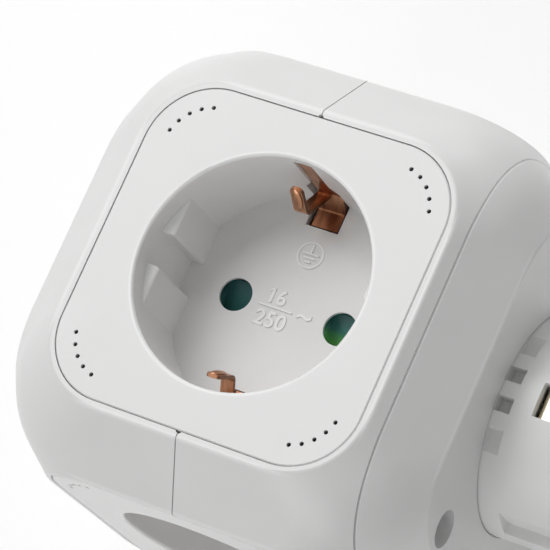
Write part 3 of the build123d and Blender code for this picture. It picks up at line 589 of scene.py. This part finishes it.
def join(pieces, name):
    """Several mesh objects as one piece at the origin."""
    start_piece()
    for piece in pieces:
        piece.select_set(True)
    bpy.context.view_layer.objects.active = pieces[0]
    bpy.ops.object.join()
    joined = active_piece()
    joined.name = name
    apply_place()
    return joined


def bevelled_bar(length, width, height, x, y, z=0.0, turn=0.0):
    """Low bar with bevelled edges, lying on the plane at z."""
    start_piece()
    bpy.ops.mesh.primitive_cube_add(size=1.0, location=(x, y, z + height / 2), rotation=(0.0, 0.0, turn))
    bar = active_piece()
    bar.scale = (length, width, height)
    apply_place()
    bpy.ops.object.mode_set(mode="EDIT")
    bpy.ops.mesh.select_all(action="SELECT")
    bpy.ops.mesh.bevel(offset=min(width, height) * BAR_BEVEL, segments=2, affect="EDGES")
    bpy.ops.object.mode_set(mode="OBJECT")
    return bar


def raised_text(words, size, height, x, y):
    """Raised figures with rounded edges, lying on the plane z = 0."""
    start_piece()
    bpy.ops.object.text_add(location=(x, y, 0.0))
    letters = active_piece().data
    letters.body = words
    letters.size = size
    letters.align_x = "CENTER"
    letters.extrude = height / 2
    letters.offset = FIGURE_SWELL
    letters.bevel_depth = height * FIGURE_BEVEL
    letters.bevel_resolution = 1
    letters.resolution_u = 4
    bpy.ops.object.convert(target="MESH")
    apply_place()
    return active_piece()


def earth_sign():
    """Earth sign in a ring, raised from the well's floor."""
    start_piece()
    bpy.ops.mesh.primitive_torus_add(major_radius=SIGN_RING, minor_radius=SIGN_RING_WIRE, major_segments=40,
                                     minor_segments=10, location=(SIGN_X, SIGN_Y, SIGN_RING_RISE))
    pieces = [active_piece()]
    pieces.append(bevelled_bar(SIGN_LINE, SIGN_STEM, SIGN_LINE, SIGN_X, SIGN_Y + SIGN_STEM_UP))
    for up, length in SIGN_BARS.items():
        pieces.append(bevelled_bar(length * MM, SIGN_LINE, SIGN_LINE, SIGN_X, SIGN_Y + up * MM))
    return join(pieces, "earth_sign")


def rating_mark():
    """Raised rating figures: one number over a line, one under it, and a wave beside it."""
    pieces = []
    for words, (size, x, y) in RATING_FIGURES.items():
        pieces.append(raised_text(words, size * MM, RATING_HEIGHT, x * MM, y * MM))
    pieces.append(bevelled_bar(RULE_LENGTH, RATING_LINE, RATING_HEIGHT, RULE_X, RULE_Y))
    pieces.append(bevelled_bar(FLAG_LENGTH, RATING_LINE, RATING_HEIGHT, FLAG_X, FLAG_Y, turn=FLAG_TURN))
    return join(pieces, "rating_mark")


def finger_pads():
    """Rounded pads pressed out of the tips of a socket's two earth fingers."""
    start_piece()
    bpy.ops.mesh.primitive_uv_sphere_add(segments=24, ring_count=12, radius=1.0)
    pad = active_piece()
    bpy.ops.object.mode_set(mode="EDIT")
    bpy.ops.mesh.select_all(action="SELECT")
    bpy.ops.mesh.bisect(plane_co=(0.0, 0.0, -PAD_SUNK), plane_no=(0.0, 0.0, 1.0),
                        use_fill=True, clear_inner=True)
    bpy.ops.object.mode_set(mode="OBJECT")
    bpy.ops.object.shade_smooth_by_angle(angle=PAD_SMOOTH)
    pad.scale = FINGER_PAD
    pad.rotation_euler.x = FINGER_LEAN
    pad.location = FINGER_TIP
    apply_place()
    front = copy_piece(pad)
    front.data.transform(Matrix.Rotation(math.pi, 4, "Z"))
    front.data.transform(Matrix.Translation((2 * FINGER_TIP.x, 0.0, 0.0)))
    return join([pad, front], "finger_pads")


def spring_ribbon():
    """Flat zigzag spring about the plane z = 0, from its foot on the shutter to its foot on the frame."""
    start_piece()
    x = (SPRING_FOOT - SPRING_SPAN) / 2
    y = SPRING_END - SPRING_LENGTH + SPRING_SHEET / 2
    bpy.ops.mesh.primitive_plane_add(size=1.0, location=(x, y, 0.0), rotation=(math.pi / 2, 0.0, 0.0))
    ribbon = active_piece()
    ribbon.name = "shutter_spring_ribbon"
    ribbon.scale = (SPRING_FOOT, SPRING_HEIGHT, 1.0)
    apply_place()
    bpy.ops.object.mode_set(mode="EDIT")
    pick_edges(ribbon, lambda x: abs(x + SPRING_SPAN / 2) < SPRING_SHEET)
    legs = [(SPRING_SPAN * (-1) ** leg, SPRING_PITCH, 0.0) for leg in range(SPRING_LEGS)]
    for move in (*legs, (-SPRING_FOOT, 0.0, 0.0)):
        bpy.ops.mesh.extrude_region_move(TRANSFORM_OT_translate={"value": move})
    pick_edges(ribbon, lambda x: abs(abs(x) - SPRING_SPAN / 2) < SPRING_SHEET)
    bpy.ops.mesh.bevel(offset=SPRING_BEND, segments=4, affect="EDGES")
    bpy.ops.object.mode_set(mode="OBJECT")
    wall = ribbon.modifiers.new("sheet", "SOLIDIFY")
    wall.thickness = SPRING_SHEET
    wall.offset = 0.0
    bpy.ops.object.modifier_apply(modifier="sheet")
    return ribbon


def pick_edges(piece, wanted):
    """In edit mode, select the upright edges whose place along X is wanted."""
    bpy.ops.mesh.select_all(action="DESELECT")
    bpy.ops.mesh.select_mode(type="EDGE")
    mesh = bmesh.from_edit_mesh(piece.data)
    for edge in mesh.edges:
        low, high = (corner.co for corner in edge.verts)
        upright = (low - high).to_2d().length < UPRIGHT_PLAY
        edge.select_set(upright and wanted(low.x))
    bmesh.update_edit_mesh(piece.data)


def usb_contacts():
    """Four plated strips on the under side of a port's tongue."""
    strips = []
    for y, length in STRIP_LENGTHS.items():
        x = STRIP_START + length * MM / 2
        strips.append(bevelled_bar(length * MM, STRIP_WIDTH, STRIP_SHEET, x, y * MM, STRIP_LEVEL))
    return join(strips, "usb_contacts")


def copy_piece(piece):
    """Copy of a piece with its own mesh."""
    copy = piece.copy()
    copy.data = piece.data.copy()
    bpy.context.collection.objects.link(copy)
    return copy


def place_copy(piece, name, move, finishes, slot):
    """Copy of a piece, moved to its place on the housing."""
    copy = copy_piece(piece)
    copy.name = name
    copy.data.transform(move)
    copy.data.materials.clear()
    copy.data.materials.append(finishes[slot].material)
    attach(copy, "base")
    return copy


def socket_turn(side):
    """Turn from the top socket to another side, about the cube's middle."""
    turn = Matrix.Rotation(math.radians(SOCKET_TURNS[side]), 4, "X")
    return Matrix.Translation(CUBE_MIDDLE) @ turn


def mark_sockets(finishes):
    """The raised marks on every well's floor."""
    floor = Matrix.Translation((0.0, 0.0, WELL_FLOOR))
    for mark in (earth_sign(), rating_mark()):
        for side in SOCKET_TURNS:
            place_copy(mark, f"{mark.name}_{side}", socket_turn(side) @ floor, finishes, "panel")
        bpy.data.objects.remove(mark)


def fit_finger_pads(finishes):
    """The earth fingers' pads in every socket."""
    pads = finger_pads()
    for side in SOCKET_TURNS:
        place_copy(pads, f"finger_pads_{side}", socket_turn(side), finishes, "copper")
    bpy.data.objects.remove(pads)


def fit_springs(finishes):
    """The shutters' springs: a zigzag ribbon in each socket, in place of the part's own spring."""
    ribbon = spring_ribbon()
    level = Matrix.Translation((0.0, 0.0, SPRING_LEVEL))
    for side in SOCKET_TURNS:
        turn = socket_turn(side)
        spring = place_copy(ribbon, f"spring_ribbon_{side}", turn @ level, finishes, "spring_steel")
        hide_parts(f"shutter_spring_{side}")
        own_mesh(spring)
    bpy.data.objects.remove(ribbon)


def fit_usb_contacts(finishes):
    """The contact strips of both ports."""
    strips = usb_contacts()
    for number, y in PORT_PLACES.items():
        move = Matrix.Translation(CUBE_MIDDLE) @ Matrix.Translation((0.0, y, 0.0))
        place_copy(strips, f"usb_contacts_{number}", move, finishes, "contact")
    bpy.data.objects.remove(strips)


def set_camera():
    """Camera at the photograph's viewing angle."""
    camera = bpy.data.objects.new("photo_view", bpy.data.cameras.new("photo_view"))
    camera.data.sensor_width = SENSOR_WIDTH
    camera.data.lens = FOCAL_PIXELS / PHOTO_PIXELS * SENSOR_WIDTH
    camera.matrix_world = Matrix.Translation(CAMERA_PLACE)
    for degrees, axis in ((CAMERA_HEADING, "Z"), (CAMERA_TILT, "X"), (CAMERA_ROLL, "Z")):
        camera.matrix_world = camera.matrix_world @ Matrix.Rotation(math.radians(degrees), 4, axis)
    bpy.context.collection.objects.link(camera)
    bpy.context.scene.camera = camera


def floor_paint():
    """Pale floor paint, which looks white from afar."""
    finish = Finish("floor_paint", Roughness=0.9, Specular_IOR_Level=0.0, Emission_Strength=0.7)
    tone = finish.noise(3.0)
    finish.feed("Base Color", finish.ramp(tone, (0.4, (0.79, 0.79, 0.79)), (0.6, (0.8, 0.8, 0.8))))
    far = finish.vector("LENGTH", finish.place(), output="Value").step(FLOOR_NEAR, FLOOR_FAR)
    glow = finish.mix(far, (0.5, 0.5, 0.5), (1.0, 1.0, 1.0))
    finish.feed("Emission Color", finish.mix(finish.seen(), (0.0, 0.0, 0.0), glow))
    return finish


def set_floor():
    """Plain floor that keeps the object's shadow."""
    start_piece()
    bpy.ops.mesh.primitive_plane_add(size=FLOOR_SIDE, location=(0.0, 0.0, FLOOR_LEVEL))
    floor = active_piece()
    floor.name = "floor"
    floor.data.materials.append(floor_paint().material)


def set_sky():
    """Even white sky."""
    world = bpy.data.worlds.new("studio")
    world.use_nodes = True
    bpy.context.scene.world = world
    nodes = Nodes(world.node_tree)
    sky = world.node_tree.nodes["Background"]
    sky.inputs["Color"].default_value = (1.0, 1.0, 1.0, 1.0)
    nodes.link(nodes.seen() * (1.0 - SKY_SHARE) + SKY_SHARE, sky.inputs["Strength"])


def set_lamps():
    """One big soft lamp from the upper left, and a low one before and behind."""
    for name, (place, power) in LAMPS.items():
        lamp = bpy.data.objects.new(name, bpy.data.lights.new(name, "AREA"))
        lamp.data.size = LAMP_SIDE
        lamp.data.energy = power
        lamp.location = place
        lamp.rotation_euler = (LAMP_AIM - place).to_track_quat("-Z", "Y").to_euler()
        bpy.context.collection.objects.link(lamp)


bpy.context.scene.view_settings.view_transform = "Standard"
finishes = make_finishes()
dress_nodes(finishes)
mark_sockets(finishes)
fit_finger_pads(finishes)
fit_springs(finishes)
fit_usb_contacts(finishes)
set_camera()
set_floor()
set_sky()
set_lamps()
